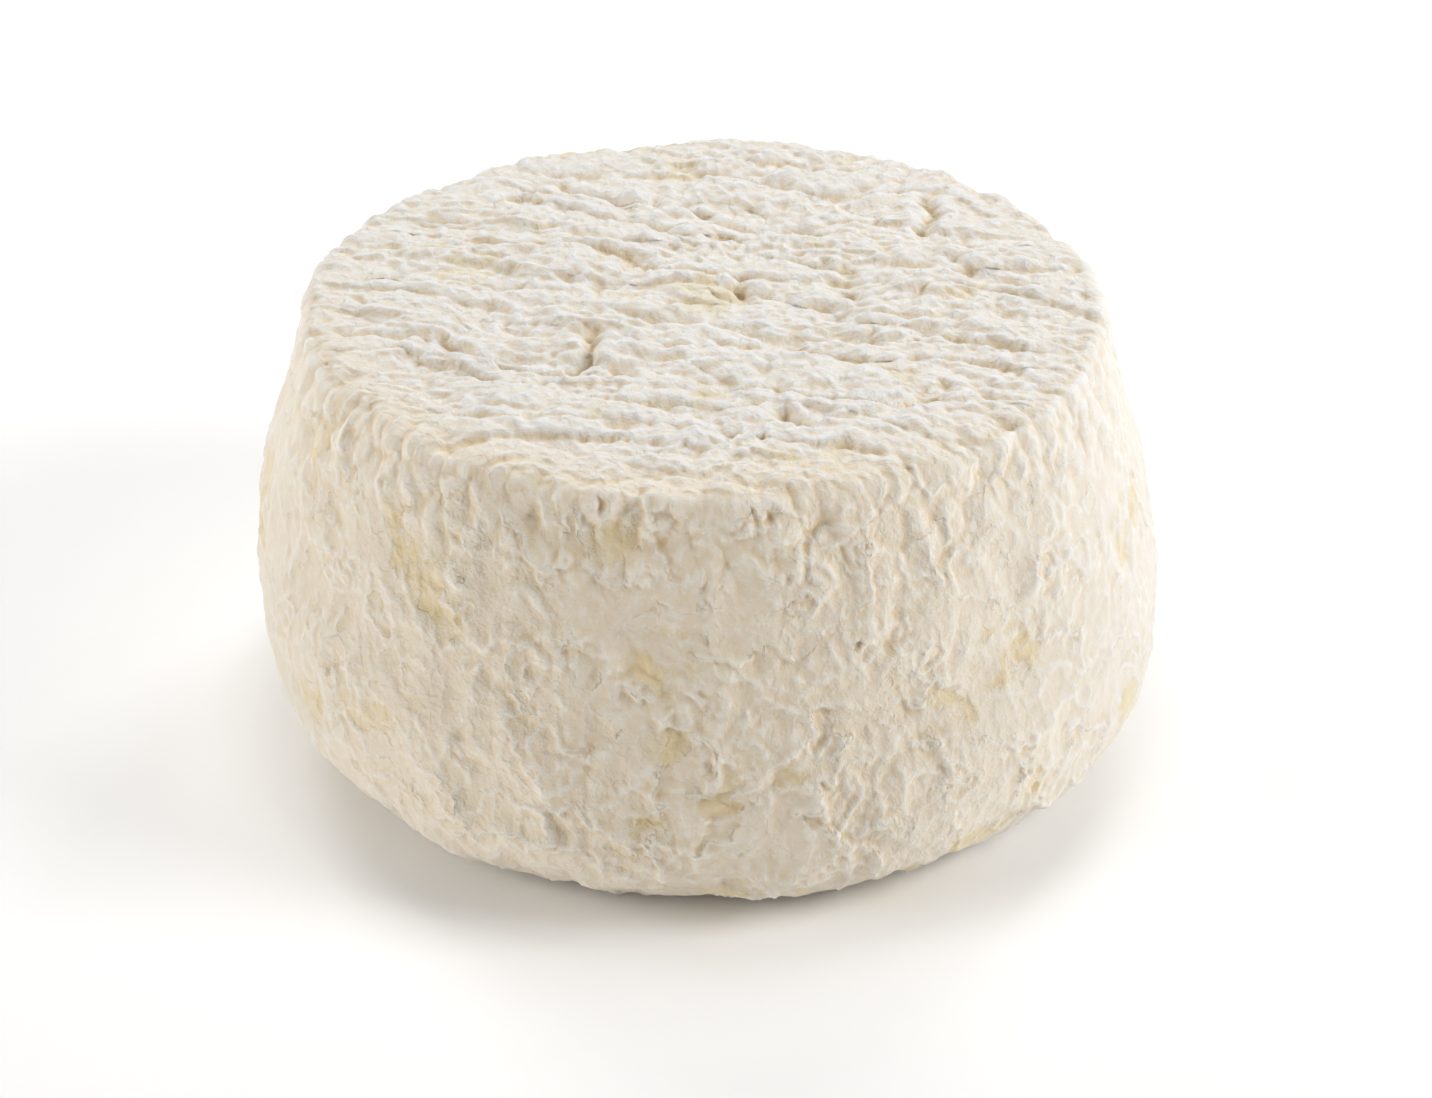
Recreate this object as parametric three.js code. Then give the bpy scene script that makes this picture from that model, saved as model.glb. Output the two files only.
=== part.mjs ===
// A small soft-ripened cheese wheel with a white bloomy rind, standing on its flat base.
//
// Millimetres, +Z up, origin at the centre of the base. The wheel is one solid. Its wall bulges low
// down, as soft cheese settles while it ripens, and leans in to a narrower top with a tight rim.
// The rind is wrinkled: long steps, pillow-like mounds and deep creases lie across the top, in the
// direction of the draining mat, and upright folds and dents run down the wall.

import * as THREE from 'three';

// The wheel's plain form. A swing is how much a size grows towards +X and shrinks towards -X. The
// shoulder is flattened, so that it measures less along Y, and the whole leans.
const WHEEL_HEIGHT = 59;
const WIDEST_RADIUS = 60;
const WIDEST_RADIUS_SWING = -0.6;
const WIDEST_HEIGHT = 23.6;
const WIDEST_HEIGHT_SWING = -1;
const FOOT_RADIUS = 47.1;
const FOOT_RADIUS_SWING = 0.8;
const FOOT_CURVE = 4.3;
const SHOULDER_RADIUS = 51.8;
const SHOULDER_CURVE = 1.3;
const SHOULDER_FLATTENING = 0.9;
const RIM_ROUNDING = 1.6;
const LEAN = new THREE.Vector2(-1.7, 1.4);

// The rind's relief: how far each kind of fold rises, how long, wide and high one fold is, and the
// share of its rise that lies below the plain surface.
const LUMP_RISE = 0.9;
const LUMP_SIZE = new THREE.Vector3(24, 24, 20);
const MOUND_RISE = 1.4;
const MOUND_SIZE = new THREE.Vector3(13, 7, 9);
const MOUND_REACH = 0.85;
const MOUND_SUNK = 0.5;
const STEP_RISE = 0.8;
const STEP_SIZE = new THREE.Vector3(26, 9, 14);
const STEP_STRAYING = 0.9;
const STEP_EDGE = 0.25;
const STEP_SUNK = 0.6;
const WALL_FOLD_RISE = 0.8;
const WALL_FOLD_SIZE = new THREE.Vector3(7, 7, 12);
const WALL_FOLD_SUNK = 0.5;
const FOOT_FADE = 7;

// The mat's direction, and how far its lines bend over what distance.
const UP = new THREE.Vector3(0, 0, 1);
const MAT_TURN = THREE.MathUtils.degToRad(14);
const MAT_BEND = 3;
const MAT_BEND_SIZE = 16;

// Near the rim the top's relief is lower: the share that is left there, and how far in it is whole.
const RIM_SHARE = 0.35;
const RIM_FADE = 9;

// The top's relief gives way to the wall's as the plain surface turns from level to upright.
const UPRIGHT = 0.3;
const LEVEL = 0.95;

// Deep creases of the top: half-width, depth and the points that each passes. The surface is divided
// more coarsely than a crease is wide, so each is spread by CREASE_SPREAD.
const CREASE_SPREAD = 1.2;
const CREASES = [
  { halfWidth: 1.4, depth: 1.6, path: [[-14.4, -9.5], [-14, -16.2]] },
  { halfWidth: 1.0, depth: 1.3, path: [[-14, -16.2], [-18, -19], [-25, -17.5], [-34, -10.5], [-47, -8.5]] },
  { halfWidth: 1.2, depth: 2.0, path: [[10, -31], [12, -34.2], [15, -32.2]] },
  { halfWidth: 1.1, depth: 1.0, path: [[-10.5, -3.8], [-3.4, -6], [6.3, -8.5]] },
  { halfWidth: 1.6, depth: 1.8, path: [[-18, 35], [-12, 30.8], [-7, 29.8]] },
  { halfWidth: 1.4, depth: 1.5, path: [[-2.9, 28], [3.2, 23.5], [10, 21.3], [14, 20.7]] },
  { halfWidth: 1.3, depth: 1.4, path: [[30.5, 30.4], [31.5, 26], [29.6, 20.1]] },
  { halfWidth: 1.2, depth: 1.2, path: [[5.1, 1.9], [4.4, 7]] },
  { halfWidth: 1.1, depth: 0.9, path: [[17.2, -39], [19.6, -40.9], [23, -40.5]] },
  { halfWidth: 1.0, depth: 0.9, path: [[-50, 8], [-36, 6.6], [-24, 4.3]] },
];

// Seeds of the separate noise fields. A finer layer of a field is so many times finer and so much
// fainter, is read from another place, and has its own seed.
const LUMP_SEED = 1;
const MOUND_SEED = 3;
const STEP_SEED = 5;
const WALL_FOLD_SEED = 7;
const BEND_SEED = 11;
const FINER_TIMES = 2.1;
const FINER_SHARE = 0.5;
const FINER_PLACE = 17.3;
const FINER_SEED_STEP = 100;
const WAVE_GAIN = 1.4;

// How finely the surface is divided.
const TOP_DIVISIONS = 38;
const TURN_DIVISIONS = 4 * TOP_DIVISIONS;
const RIM_ROWS = 3;
const WALL_ROWS = 24;

/** A repeatable 32-bit number for a point of a whole-number grid. */
function gridHash(column, row, layer, seed) {
  let bits =
    Math.imul(column, 0x8da6b343) ^
    Math.imul(row, 0xd8163841) ^
    Math.imul(layer, 0xcb1ab31f) ^
    Math.imul(seed, 0x9e3779b1);
  bits = Math.imul(bits ^ (bits >>> 15), 0x85ebca6b);
  bits = Math.imul(bits ^ (bits >>> 13), 0xc2b2ae35);
  return (bits ^ (bits >>> 16)) >>> 0;
}

/** Three numbers from 0 to 1 for a point of the grid. */
function gridTriple(column, row, layer, seed) {
  const bits = gridHash(column, row, layer, seed);
  return [(bits & 1023) / 1023, ((bits >>> 10) & 1023) / 1023, ((bits >>> 20) & 1023) / 1023];
}

/** Smooth noise of one layer, about -1 to 1, from random slopes at the grid's points. */
function waves(at, seed) {
  const base = at.clone().floor();
  const part = at.clone().sub(base);
  const ease = (t) => t * t * t * (t * (t * 6 - 15) + 10);
  const [u, v, w] = [ease(part.x), ease(part.y), ease(part.z)];
  let sum = 0;
  for (let corner = 0; corner < 8; corner++) {
    const [i, j, k] = [corner & 1, (corner >> 1) & 1, corner >> 2];
    const slope = gridTriple(base.x + i, base.y + j, base.z + k, seed);
    const dot =
      (slope[0] * 2 - 1) * (part.x - i) +
      (slope[1] * 2 - 1) * (part.y - j) +
      (slope[2] * 2 - 1) * (part.z - k);
    sum += dot * (i ? u : 1 - u) * (j ? v : 1 - v) * (k ? w : 1 - w);
  }
  return sum * WAVE_GAIN;
}

/** Two layers of smooth noise, the second finer and fainter. */
function layeredWaves(at, seed) {
  const finer = at.clone().multiplyScalar(FINER_TIMES).addScalar(FINER_PLACE);
  return waves(at, seed) + waves(finer, seed + FINER_SEED_STEP) * FINER_SHARE;
}

/** Distances to the nearest and second nearest of randomly scattered cell centres. */
function cellDistances(at, seed) {
  const base = at.clone().floor();
  let nearest = Infinity;
  let second = Infinity;
  for (let i = -1; i <= 1; i++)
    for (let j = -1; j <= 1; j++)
      for (let k = -1; k <= 1; k++) {
        const jitter = gridTriple(base.x + i, base.y + j, base.z + k, seed);
        const distance = Math.hypot(
          base.x + i + jitter[0] - at.x,
          base.y + j + jitter[1] - at.y,
          base.z + k + jitter[2] - at.z,
        );
        if (distance < nearest) [nearest, second] = [distance, nearest];
        else if (distance < second) second = distance;
      }
  return [nearest, second];
}

/** Folds that lie over one another, from 0 to 1: each rises slowly towards -Y to a round edge. */
function terraces(at, seed) {
  const level = STEP_STRAYING * layeredWaves(at, seed) - at.y;
  const share = level - Math.floor(level);
  if (share < 1 - STEP_EDGE) return Math.sin(((share / (1 - STEP_EDGE)) * Math.PI) / 2);
  const fall = (1 - share) / STEP_EDGE;
  return Math.sqrt(fall * (2 - fall));
}

/** How deep a crease is at a point, seen from above. */
function creaseDepth(crease, point) {
  let away = Infinity;
  for (let index = 1; index < crease.path.length; index++) {
    const start = new THREE.Vector3(...crease.path[index - 1], 0);
    const end = new THREE.Vector3(...crease.path[index], 0);
    const seen = new THREE.Vector3(point.x, point.y, 0);
    const closest = new THREE.Line3(start, end).closestPointToPoint(seen, true, new THREE.Vector3());
    away = Math.min(away, closest.distanceTo(seen));
  }
  return crease.depth * Math.exp(-((away / (crease.halfWidth + CREASE_SPREAD)) ** 2));
}

/** Radius of the plain wall at a height and a direction, before the lean. */
function wallRadius(height, turn) {
  const side = Math.cos(turn);
  const widest = WIDEST_RADIUS + WIDEST_RADIUS_SWING * side;
  const widestHeight = WIDEST_HEIGHT + WIDEST_HEIGHT_SWING * side;
  if (height < widestHeight) {
    const foot = FOOT_RADIUS + FOOT_RADIUS_SWING * side;
    return widest - (widest - foot) * (1 - height / widestHeight) ** FOOT_CURVE;
  }
  const shoulder = SHOULDER_RADIUS - SHOULDER_FLATTENING * Math.sin(turn) ** 2;
  const share = (height - widestHeight) / (WHEEL_HEIGHT - widestHeight);
  return widest - (widest - shoulder) * share ** SHOULDER_CURVE;
}

/** Mounds, long steps and deep creases of the top, in mm. */
function topRelief(point) {
  const laid = point.clone().applyAxisAngle(UP, MAT_TURN);
  laid.y += waves(laid.clone().divideScalar(MAT_BEND_SIZE), BEND_SEED) * MAT_BEND;
  const [nearest] = cellDistances(laid.clone().divide(MOUND_SIZE), MOUND_SEED);
  const mound = 1 - Math.min(1, nearest / MOUND_REACH) ** 2;
  const step = terraces(laid.clone().divide(STEP_SIZE), STEP_SEED);
  const depth = CREASES.reduce((sum, crease) => sum + creaseDepth(crease, point), 0);
  return MOUND_RISE * (mound - MOUND_SUNK) + STEP_RISE * (step - STEP_SUNK) - depth;
}

/** Upright folds on the wall, in mm. */
function wallRelief(point) {
  const [nearest, second] = cellDistances(point.clone().divide(WALL_FOLD_SIZE), WALL_FOLD_SEED);
  return WALL_FOLD_RISE * (1 - WALL_FOLD_SUNK - Math.min(1, second - nearest));
}

/** How far the rind stands out from the plain wheel, in mm. */
function relief(point, upward, inward) {
  const onTop = THREE.MathUtils.smoothstep(upward, UPRIGHT, LEVEL);
  const inside = RIM_SHARE + (1 - RIM_SHARE) * THREE.MathUtils.smoothstep(inward, 0, RIM_FADE);
  const lump = LUMP_RISE * waves(point.clone().divide(LUMP_SIZE), LUMP_SEED);
  return lump + onTop * inside * topRelief(point) + (1 - onTop) * wallRelief(point);
}

/** A point of the rind from the plain wheel's point and normal, inward mm in from the top's edge. */
function rindPoint(plain, normal, inward) {
  const fade = THREE.MathUtils.smoothstep(plain.z, 0, FOOT_FADE);
  const point = plain.clone().addScaledVector(normal, relief(plain, normal.z, inward) * fade);
  point.x += LEAN.x * (plain.z / WHEEL_HEIGHT - 0.5);
  point.y += LEAN.y * (plain.z / WHEEL_HEIGHT - 0.5);
  return point;
}

/** A point of the plain top, from -1 to 1 each way on a square that is bent into the disc. */
function topPoint(across, along) {
  const reach = Math.max(Math.abs(across), Math.abs(along));
  let turn = 0;
  if (Math.abs(across) >= Math.abs(along) && reach > 0)
    turn = (Math.PI / 4) * (along / across) + (across < 0 ? Math.PI : 0);
  else if (reach > 0)
    turn = Math.PI / 2 - (Math.PI / 4) * (across / along) + (along < 0 ? Math.PI : 0);
  const edge = wallRadius(WHEEL_HEIGHT, turn) - RIM_ROUNDING;
  const radius = reach * edge;
  const plain = new THREE.Vector3(radius * Math.cos(turn), radius * Math.sin(turn), WHEEL_HEIGHT);
  return rindPoint(plain, UP, edge - radius);
}

/** The plain wall below the rim, from its top to the foot, as radius and height. */
class WallCurve extends THREE.Curve {
  getPoint(share, target = new THREE.Vector2()) {
    const height = (WHEEL_HEIGHT - RIM_ROUNDING) * (1 - share);
    return target.set(wallRadius(height, Math.PI / 2), height);
  }
}

/** The rows below the top, from the rim to the foot: height, step in from the wall, and normal. */
function wallRows() {
  const rows = [];
  for (let row = 1; row <= RIM_ROWS; row++) {
    const angle = (Math.PI / 2) * (1 - row / RIM_ROWS);
    rows.push({
      height: WHEEL_HEIGHT - RIM_ROUNDING * (1 - Math.sin(angle)),
      inset: RIM_ROUNDING * (1 - Math.cos(angle)),
      outward: Math.cos(angle),
      upward: Math.sin(angle),
    });
  }
  const curve = new WallCurve();
  const points = curve.getSpacedPoints(WALL_ROWS);
  for (let row = 1; row <= WALL_ROWS; row++) {
    const tangent = curve.getTangentAt(row / WALL_ROWS);
    rows.push({ height: points[row].y, inset: 0, outward: -tangent.y, upward: tangent.x });
  }
  return rows;
}

/** The wheel's surface: a grid over the top, rings down the wall, and a fan under the base. */
function wheelGeometry() {
  const points = [];
  const faces = [];
  const addPoint = (point) => points.push(point) - 1;
  const addQuad = (a, b, c, d) => {
    if (points[a].distanceTo(points[c]) < points[b].distanceTo(points[d])) faces.push(a, b, c, a, c, d);
    else faces.push(b, c, d, b, d, a);
  };

  const grid = [];
  for (let i = 0; i <= TOP_DIVISIONS; i++) {
    const line = [];
    for (let j = 0; j <= TOP_DIVISIONS; j++)
      line.push(addPoint(topPoint((2 * i) / TOP_DIVISIONS - 1, (2 * j) / TOP_DIVISIONS - 1)));
    grid.push(line);
  }
  for (let i = 0; i < TOP_DIVISIONS; i++)
    for (let j = 0; j < TOP_DIVISIONS; j++)
      addQuad(grid[i][j], grid[i + 1][j], grid[i + 1][j + 1], grid[i][j + 1]);

  const last = TOP_DIVISIONS;
  let ring = [];
  for (let j = 0; j < last; j++) ring.push(grid[last][j]);
  for (let i = last; i > 0; i--) ring.push(grid[i][last]);
  for (let j = last; j > 0; j--) ring.push(grid[0][j]);
  for (let i = 0; i < last; i++) ring.push(grid[i][0]);

  for (const row of wallRows()) {
    const next = ring.map((_, index) => {
      const turn = -Math.PI / 4 + (2 * Math.PI * index) / TURN_DIVISIONS;
      const radius = wallRadius(row.height, turn) - row.inset;
      const [x, y] = [Math.cos(turn), Math.sin(turn)];
      const normal = new THREE.Vector3(x * row.outward, y * row.outward, row.upward).normalize();
      return addPoint(rindPoint(new THREE.Vector3(x * radius, y * radius, row.height), normal, 0));
    });
    ring.forEach((start, index) => {
      const after = (index + 1) % TURN_DIVISIONS;
      addQuad(start, next[index], next[after], ring[after]);
    });
    ring = next;
  }

  const centre = addPoint(new THREE.Vector3());
  ring.forEach((start, index) => faces.push(start, centre, ring[(index + 1) % TURN_DIVISIONS]));

  const geometry = new THREE.BufferGeometry().setFromPoints(points).setIndex(faces);
  geometry.computeBoundingBox();
  const middle = geometry.boundingBox.getCenter(new THREE.Vector3());
  geometry.translate(-middle.x, -middle.y, 0);
  geometry.computeVertexNormals();
  return geometry;
}

const rind = new THREE.MeshStandardMaterial({ color: 0xece4d3, roughness: 0.9, metalness: 0 });
const wheel = new THREE.Mesh(wheelGeometry(), rind);
wheel.name = 'cheese_wheel';

const part = new THREE.Group();
part.add(wheel);

export default part;
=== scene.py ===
"""The soft-ripened cheese wheel's finished rind, its floor, its light and its camera.

Everything is in metres, +Z up, with the origin at the centre of the wheel's base.
"""

import math

import bpy
import numpy as np
from bpy.props import FloatProperty, FloatVectorProperty, IntProperty, PointerProperty
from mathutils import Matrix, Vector


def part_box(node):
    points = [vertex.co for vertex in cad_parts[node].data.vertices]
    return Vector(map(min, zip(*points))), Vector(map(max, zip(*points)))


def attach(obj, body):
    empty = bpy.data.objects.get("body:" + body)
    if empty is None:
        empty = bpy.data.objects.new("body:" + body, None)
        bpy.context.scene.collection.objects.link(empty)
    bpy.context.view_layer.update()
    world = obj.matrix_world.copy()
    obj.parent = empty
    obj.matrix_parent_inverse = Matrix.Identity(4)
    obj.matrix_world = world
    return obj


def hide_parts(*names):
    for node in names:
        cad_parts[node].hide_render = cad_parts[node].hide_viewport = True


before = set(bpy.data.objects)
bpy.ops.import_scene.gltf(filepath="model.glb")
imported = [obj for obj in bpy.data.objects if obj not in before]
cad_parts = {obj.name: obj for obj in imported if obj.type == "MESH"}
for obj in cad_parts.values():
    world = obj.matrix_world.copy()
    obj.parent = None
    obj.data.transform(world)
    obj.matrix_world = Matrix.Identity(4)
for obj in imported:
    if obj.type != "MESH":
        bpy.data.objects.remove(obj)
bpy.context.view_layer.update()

bl_info = {
    "name": "Bloomy Cheese Wheel",
    "version": (1, 0, 0),
    "blender": (4, 5, 0),
    "location": "3D View > Sidebar > Cheese",
    "description": "Builds a small soft-ripened cheese wheel with a wrinkled white rind",
    "category": "Add Mesh",
}

WHEEL_NODE = "cheese_wheel"
BODY = "root"
MM = 0.001
RIM_REACH = 52  # mm from the axis to the top's edge
REACH_PAST_BOX = 1.02  # the rind's extent as a share of the solid's, at most
BASE_RINGS = (0.97, 0.9, 0.7, 0.35)  # shares of the foot's radius
STEP_EDGE = 0.25  # share of a step that its steep edge takes
CROWDED = 1.6 * MM  # where edges of sheets lie closer than this, the sheets are thinner
# The wheel's front: there the wall, and the top near the rim, take a warmer, darker colour, partly a creamier
# coat and partly painted shade.
FRONT_SHADE_SIDE = (-0.35, -0.94, 0)  # direction in which the wall is warmest in colour

# Each layer of noise is finer than the one before, fainter, and shifted away from it.
LAYER_FINENESS = 2.1
LAYER_WEIGHT = 0.5
LAYER_SHIFT = 17.3
LAYER_SEEDS = 100

# Seeds of the separate noise fields. The first five are the solid's own.
SEED_LUMPS = 1
SEED_MOUNDS = 3
SEED_STEPS = 5
SEED_WALL_FOLDS = 7
SEED_BEND = 11
SEED_PILLOWS = 21
SEED_FOLDS = 31
SEED_FOLD_FADE = 36
SEED_KNOBS = 41
SEED_KNOB_FADE = 46
SEED_DIMPLES = 51
SEED_PUCKERS = 52
SEED_RIM_KNOBS = 61
SEED_BULGES = 66
SEED_HOLLOWS = 71
SEED_PLATES = 76
SEED_SCALES = 81
SEED_RIDGES = 86
SEED_CALM = 90
SEED_NUBS = 93
SEED_DENTS = 95
SEED_LIP = 99
SEED_BLOOM = 101
SEED_BLOOM_WARP = 111
SEED_WARP = 151
SEED_WALL_WARP = 161
SEED_RIM_WARP = 181

# Deep creases between mounds of the top: half-width and depth, then the points they pass, all in mm.
CREASES = (
    (1.4, 1.6, ((-14.4, -9.5), (-14, -16.2))),
    (1.0, 1.3, ((-14, -16.2), (-18, -19), (-25, -17.5), (-34, -10.5), (-47, -8.5))),
    (1.2, 2.0, ((10, -31), (12, -34.2), (15, -32.2))),
    (1.1, 1.0, ((-10.5, -3.8), (-3.4, -6), (6.3, -8.5))),
    (1.6, 1.8, ((-18, 35), (-12, 30.8), (-7, 29.8))),
    (1.4, 1.5, ((-2.9, 28), (3.2, 23.5), (10, 21.3), (14, 20.7))),
    (1.3, 1.4, ((30.5, 30.4), (31.5, 26), (29.6, 20.1))),
    (1.2, 1.2, ((5.1, 1.9), (4.4, 7))),
    (1.1, 0.9, ((17.2, -39), (19.6, -40.9), (23, -40.5))),
    (1.0, 0.9, ((-50, 8), (-36, 6.6), (-24, 4.3))),
)

# Where the wall's coat is thin: turn in degrees, then in mm the way down from the top's edge, half the width
# and half the height.
BARE_PATCHES = (
    (-101, 8, 6, 3.5),
    (-94.5, 32, 4.0, 3.6),
    (-97.5, 42, 3.4, 2.8),
    (-88.5, 40, 5.0, 3.2),
    (-135, 10, 2.5, 3.0),
    (-152, 7, 3.0, 2.5),
)

# Each lamp's name, tint, place and width, in metres. They face the middle of the wheel.
LAMPS = (
    ("over", "plain_tint", (0.0, 0.15, 0.8), 0.30),
    ("back_left", "plain_tint", (-0.35, 0.50, 0.5), 0.25),
    ("back_right", "plain_tint", (0.3, 0.55, 0.42), 0.22),
    ("right", "plain_tint", (0.60, -0.16, 0.42), 0.30),
    ("left", "warm_tint", (-0.62, -0.24, 0.32), 0.40),
)
WHEEL_MIDDLE = (0, 0, 30 * MM)


# ---------------------------------------------------------------- sizes and colours


def size(name, description, default_mm):
    """A length that a user may change."""
    length = default_mm * MM
    return FloatProperty(name=name, description=description, default=length, unit="LENGTH", precision=5)


def number(name, description, default):
    """A plain number that a user may change."""
    return FloatProperty(name=name, description=description, default=default)


def sizes(name, description, default_mm):
    """Three lengths that a user may change."""
    lengths = [value * MM for value in default_mm]
    return FloatVectorProperty(
        name=name, description=description, default=lengths, size=3, subtype="XYZ_LENGTH", precision=5
    )


def power(name, description, default):
    """A lamp's power that a user may change."""
    return FloatProperty(name=name, description=description, default=default, unit="POWER")


def tint(name, description, default):
    """A colour that a user may change, as linear red, green and blue."""
    return FloatVectorProperty(
        name=name, description=description, default=default, size=3, subtype="COLOR", min=0, max=1
    )


class WheelForm(bpy.types.PropertyGroup):
    """The wheel without its wrinkles. A swing is what a size gains towards +X and loses towards -X."""

    height: size("Height", "From the base to the top", 59)
    widest_radius: size("Widest radius", "Radius where the wall bulges most", 60)
    widest_radius_swing: size("Widest radius swing", "Gain towards +X", -0.6)
    widest_height: size("Widest height", "Height of the widest place", 23.6)
    widest_height_swing: size("Widest height swing", "Gain towards +X", -1)
    foot_radius: size("Foot radius", "Radius where the wall meets the base", 47.1)
    foot_radius_swing: size("Foot radius swing", "Gain towards +X", 0.8)
    foot_curve: number("Foot curve", "How tightly the wall turns in to the foot", 4.3)
    shoulder_radius: size("Shoulder radius", "Radius of the wall at the top", 51.8)
    shoulder_curve: number("Shoulder curve", "How the wall leans in to the shoulder", 1.3)
    shoulder_flattening: size("Shoulder flattening", "How much less the shoulder measures along Y", 0.9)
    rim_rounding: size("Rim rounding", "Radius of the rounded rim", 1.6)
    lean: size("Lean", "How far the top stands to one side of the base", -1.7)
    lean_back: size("Lean back", "How far the top stands back from the base", 1.4)


class RindRelief(bpy.types.PropertyGroup):
    """How far each kind of wrinkle rises, and how long, wide and high one of them is."""

    top_divisions: IntProperty(name="Top divisions", description="Quads across the top", default=320, min=8)
    wall_rows: IntProperty(name="Wall rows", description="Quads down the wall", default=200, min=8)
    mat_turn: FloatProperty(
        name="Mat turn",
        description="Direction in which the mat's creases lie",
        default=math.radians(14),
        subtype="ANGLE",
    )
    lump_rise: size("Lump rise", "Broad unevenness of the whole wheel", 0.9)
    lump_size: sizes("Lump size", "Extent of one broad lump", (24, 24, 20))
    mound_rise: size("Mound rise", "Pillow-like mounds on the top", 1.4)
    mound_size: sizes("Mound size", "Extent of one mound", (13, 7, 9))
    step_rise: size("Step rise", "Long steps across the top", 0.8)
    step_size: sizes("Step size", "Length of a step's winding, and from step to step", (26, 9, 14))
    wall_fold_rise: size("Wall fold rise", "Broad folds of the wall", 0.8)
    wall_fold_size: sizes("Wall fold size", "Extent of one broad fold", (7, 7, 12))
    pillow_rise: size("Pillow rise", "Smooth pillows on the mounds", 0.62)
    pillow_size: sizes("Pillow size", "Extent of one pillow", (6, 4.6, 5))
    fold_rise: size("Fold rise", "Folds of the top that lie over one another", 0.6)
    fold_size: sizes("Fold size", "Length of a fold's winding, and from fold to fold", (8, 3.6, 6))
    knob_rise: size("Knob rise", "Small knobs between the folds", 0.78)
    knob_size: sizes("Knob size", "Extent of one knob", (2.9, 2.3, 2.6))
    dimple_rise: size("Dimple rise", "Small dimples all over the top", 0.32)
    dimple_size: sizes("Dimple size", "Extent of one dimple", (2.1, 1.6, 1.8))
    pucker_rise: size("Pucker rise", "Tiny puckers all over the top", 0.25)
    pucker_size: sizes("Pucker size", "Extent of one pucker", (1.1, 0.9, 1.0))
    lap: number("Lap", "How far a fold of the top leans over, as a share of its rise", 0.15)
    sag: number("Sag", "How far a fold of the wall hangs down, as a share of its rise", 0.35)
    lip: number("Curl", "How far the edge of a fold or plate curls up, as a share of its rise", 0.35)
    curl: size("Curl width", "Width of the curled edge", 0.7)
    drop: size("Drop", "Width of the fall past the edge", 0.4)
    lip_rise: size("Lip rise", "Thin lip round the top's edge", 0.45)
    lip_width: size("Lip width", "Half of the lip's width", 0.6)
    lip_hollow: size("Lip hollow", "Hollow below the lip, on the side that is most bare", 0.8)
    rim_knob_rise: size("Rim knob rise", "Knobs just below the rim", 0.75)
    rim_knob_size: sizes("Rim knob size", "Extent of one knob below the rim", (2.8, 2.8, 4.6))
    rim_knob_reach: size("Rim knob reach", "How far down the wall the knobs go", 18)
    bulge_rise: size("Bulge rise", "Smooth bulges of the wall", 0.38)
    bulge_size: sizes("Bulge size", "Extent of one bulge", (5.5, 5.5, 7))
    hollow_rise: size("Hollow rise", "Broad shallow hollows of the wall", 0.3)
    hollow_size: sizes("Hollow size", "Extent of one hollow", (8, 8, 9))
    plate_rise: size("Plate rise", "Ragged plates of the wall's coat that lie over one another", 0.5)
    plate_size: sizes("Plate size", "Extent of one plate", (11, 11, 12))
    scale_rise: size("Scale rise", "Small scales of the wall's coat", 0.13)
    scale_size: sizes("Scale size", "Extent of one scale", (4, 4, 4.6))
    ridge_rise: size("Ridge rise", "Thin short ridges of the wall", 0.35)
    ridge_size: sizes("Ridge size", "Extent of the widest ridges' winding", (4.4, 4.4, 5.4))
    nub_rise: size("Nub rise", "Small nubs of the wall", 0.22)
    nub_size: sizes("Nub size", "Extent of one nub", (2.3, 2.3, 3.0))
    dent_rise: size("Dent rise", "Small dents of the wall", 0.3)
    dent_size: sizes("Dent size", "Extent of one dent", (3.1, 3.1, 4.2))
    bloom_rise: size("Bloom rise", "How far the mould coat stands over the bare rind", 0.3)
    foot_fade: size("Foot fade", "Height over which the relief fades in from the base", 7)


class RindFinish(bpy.types.PropertyGroup):
    """The rind's colours and surface."""

    # Bloom and cream are the two ends of the coat's whiteness. That whiteness is partly the coat's own
    # thickness and partly painted light: bloom as a painted highlight on level faces and crests, cream as
    # painted shade on steep faces and in hollows.
    bloom: tint("Bloom", "White mould coat on the crests", (0.91, 0.905, 0.89))
    cream: tint("Cream", "Thinner coat in the hollows", (0.85, 0.775, 0.66))
    bare: tint("Bare", "Yellow rind where the coat is gone", (0.85, 0.72, 0.43))
    # Painted shade: the warm colour that the material puts deep in hollows and broad basins, in sharp
    # crevices and in cracks at the plates' feet.
    crease_shade: tint("Crease", "Warm colour deep in the creases", (0.82, 0.66, 0.40))
    tan: tint("Tan", "Faint brown of the drier places", (0.77, 0.68, 0.57))
    # Warm multiplies the colour on the wheel's front: partly a creamier coat, partly painted shade.
    warm: tint("Warm", "What multiplies the colour where the wall is warmest", (1.0, 0.953, 0.87))
    roughness: number("Roughness", "Roughness of the mould coat", 0.85)
    scatter: size("Scatter", "How deep light goes into the rind", 0.8)


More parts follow.
